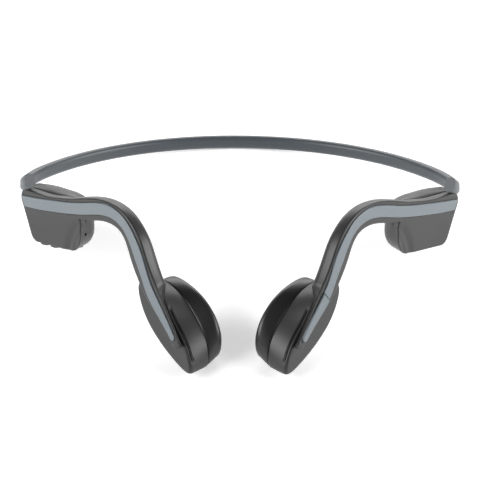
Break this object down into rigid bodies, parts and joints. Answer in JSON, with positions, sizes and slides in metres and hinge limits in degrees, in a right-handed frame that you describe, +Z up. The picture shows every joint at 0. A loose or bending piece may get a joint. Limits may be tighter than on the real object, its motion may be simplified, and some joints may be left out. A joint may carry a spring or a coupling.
{
  "type": "bone conduction headphones",
  "caption": "Wireless bone conduction headphones: slate neckband, grey electronics housings with a pale stripe, over-ear hooks and oval transducer pods.",
  "frame": {"origin": "centre of the bounding box at the surface it rests on", "axes": "+X to the wearer's left, +Y to the rear of the neckband, +Z up; it rests on the rear of the band and the lower ends of the pods"},
  "size_m": [0.1418, 0.1262, 0.0372],
  "materials": {
    "sleeve_silicone": "satin slate grey silicone",
    "soft_touch_overmould": "soft-touch dark grey overmould",
    "soft_touch_housing": "soft-touch dark grey",
    "trim_grey": "satin blue-grey",
    "rim_plastic": "satin dark grey",
    "pad_silicone": "smooth black silicone",
    "button_rubber": "dull black",
    "titanium_wire": "drawn titanium alloy",
    "wire_insulation": "satin black",
    "inner_plastic": "moulded",
    "bright_steel": "stamped",
    "magnet_nickel": "nickel plated",
    "coil_copper": "enamelled copper",
    "circuit_board": "solder mask",
    "switch_metal": "stamped",
    "battery_foil": "foil pouch",
    "foam": "closed-cell foam",
    "lens_clear": "frosted light pipe"
  },
  "bodies": {
    "neckband": {"band_core_centre": "titanium_wire", "band_harness_centre": "wire_insulation", "band_sleeve_centre": "sleeve_silicone"},
    "right_arm": {"main_board": "circuit_board", "microphone": "switch_metal", "right_band_anchor": "inner_plastic", "right_band_collar": "soft_touch_overmould", "right_band_core": "titanium_wire", "right_band_harness": "wire_insulation", "right_band_sleeve": "sleeve_silicone", "right_contact_pad": "pad_silicone", "right_driver_bracket": "inner_plastic", "right_driver_coil": "coil_copper", "right_driver_leaf_spring": "bright_steel", "right_driver_screws": "bright_steel", "right_hook_core": "titanium_wire", "right_hook_overmould": "soft_touch_overmould", "right_hook_wires": "wire_insulation", "right_housing_cover": "soft_touch_housing", "right_housing_shell": "soft_touch_housing", "right_pod_rim": "rim_plastic", "right_pod_shell": "soft_touch_housing", "right_trim": "trim_grey", "shield_can": "bright_steel", "status_led_lens": "lens_clear", "usb_c_receptacle": "bright_steel", "volume_switches": "switch_metal"},
    "left_arm": {"battery_board": "circuit_board", "battery_cell": "battery_foil", "battery_foam": "foam", "left_band_anchor": "inner_plastic", "left_band_collar": "soft_touch_overmould", "left_band_core": "titanium_wire", "left_band_harness": "wire_insulation", "left_band_sleeve": "sleeve_silicone", "left_contact_pad": "pad_silicone", "left_driver_bracket": "inner_plastic", "left_driver_coil": "coil_copper", "left_driver_leaf_spring": "bright_steel", "left_driver_screws": "bright_steel", "left_hook_core": "titanium_wire", "left_hook_overmould": "soft_touch_overmould", "left_hook_wires": "wire_insulation", "left_housing_cover": "soft_touch_housing", "left_housing_shell": "soft_touch_housing", "left_pod_rim": "rim_plastic", "left_pod_shell": "soft_touch_housing", "left_trim": "trim_grey", "multifunction_switch": "switch_metal"},
    "volume_up_button": {"volume_up_button": "button_rubber"},
    "volume_down_button": {"volume_down_button": "button_rubber"},
    "multifunction_button": {"multifunction_button": "trim_grey"},
    "usb_port_cover": {"usb_port_cover": "button_rubber"},
    "right_driver_motor": {"right_driver_yoke": "bright_steel", "right_driver_magnet": "magnet_nickel"},
    "left_driver_motor": {"left_driver_yoke": "bright_steel", "left_driver_magnet": "magnet_nickel"}
  },
  "joints": [
    {"name": "right_arm_spread", "type": "hinge", "parent": "neckband", "child": "right_arm", "pos_m": [-0.022, 0.05804, 0.00325], "axis": [0, -0.2874, -0.9578], "range_deg": [-1.5, 32], "stiffness_Nm_per_rad": 0.2},
    {"name": "left_arm_spread", "type": "hinge", "parent": "neckband", "child": "left_arm", "pos_m": [0.022, 0.05804, 0.00325], "axis": [0, 0.2874, 0.9578], "range_deg": [-1.5, 32], "stiffness_Nm_per_rad": 0.2},
    {"name": "volume_up_press", "type": "slide", "parent": "right_arm", "child": "volume_up_button", "axis": [-0.0817, 0.3783, 0.9221], "range_m": [0, 0.0004], "stiffness_N_per_m": 4000},
    {"name": "volume_down_press", "type": "slide", "parent": "right_arm", "child": "volume_down_button", "axis": [-0.0817, 0.3783, 0.9221], "range_m": [0, 0.0004], "stiffness_N_per_m": 4000},
    {"name": "multifunction_press", "type": "slide", "parent": "left_arm", "child": "multifunction_button", "axis": [-0.766, 0.6157, -0.1847], "range_m": [0, 0.0004], "stiffness_N_per_m": 4000},
    {"name": "usb_port_cover_swing", "type": "hinge", "parent": "right_arm", "child": "usb_port_cover", "pos_m": [-0.05101, -0.00958, 0.00931], "axis": [0.6376, -0.6913, 0.3401], "range_deg": [0, 95], "stiffness_Nm_per_rad": 0.004},
    {"name": "right_motor_vibration", "type": "slide", "parent": "right_arm", "child": "right_driver_motor", "axis": [0.766, 0.6157, -0.1847], "range_m": [-0.0003, 0.0003], "stiffness_N_per_m": 600},
    {"name": "left_motor_vibration", "type": "slide", "parent": "left_arm", "child": "left_driver_motor", "axis": [-0.766, 0.6157, -0.1847], "range_m": [-0.0003, 0.0003], "stiffness_N_per_m": 600}
  ]
}
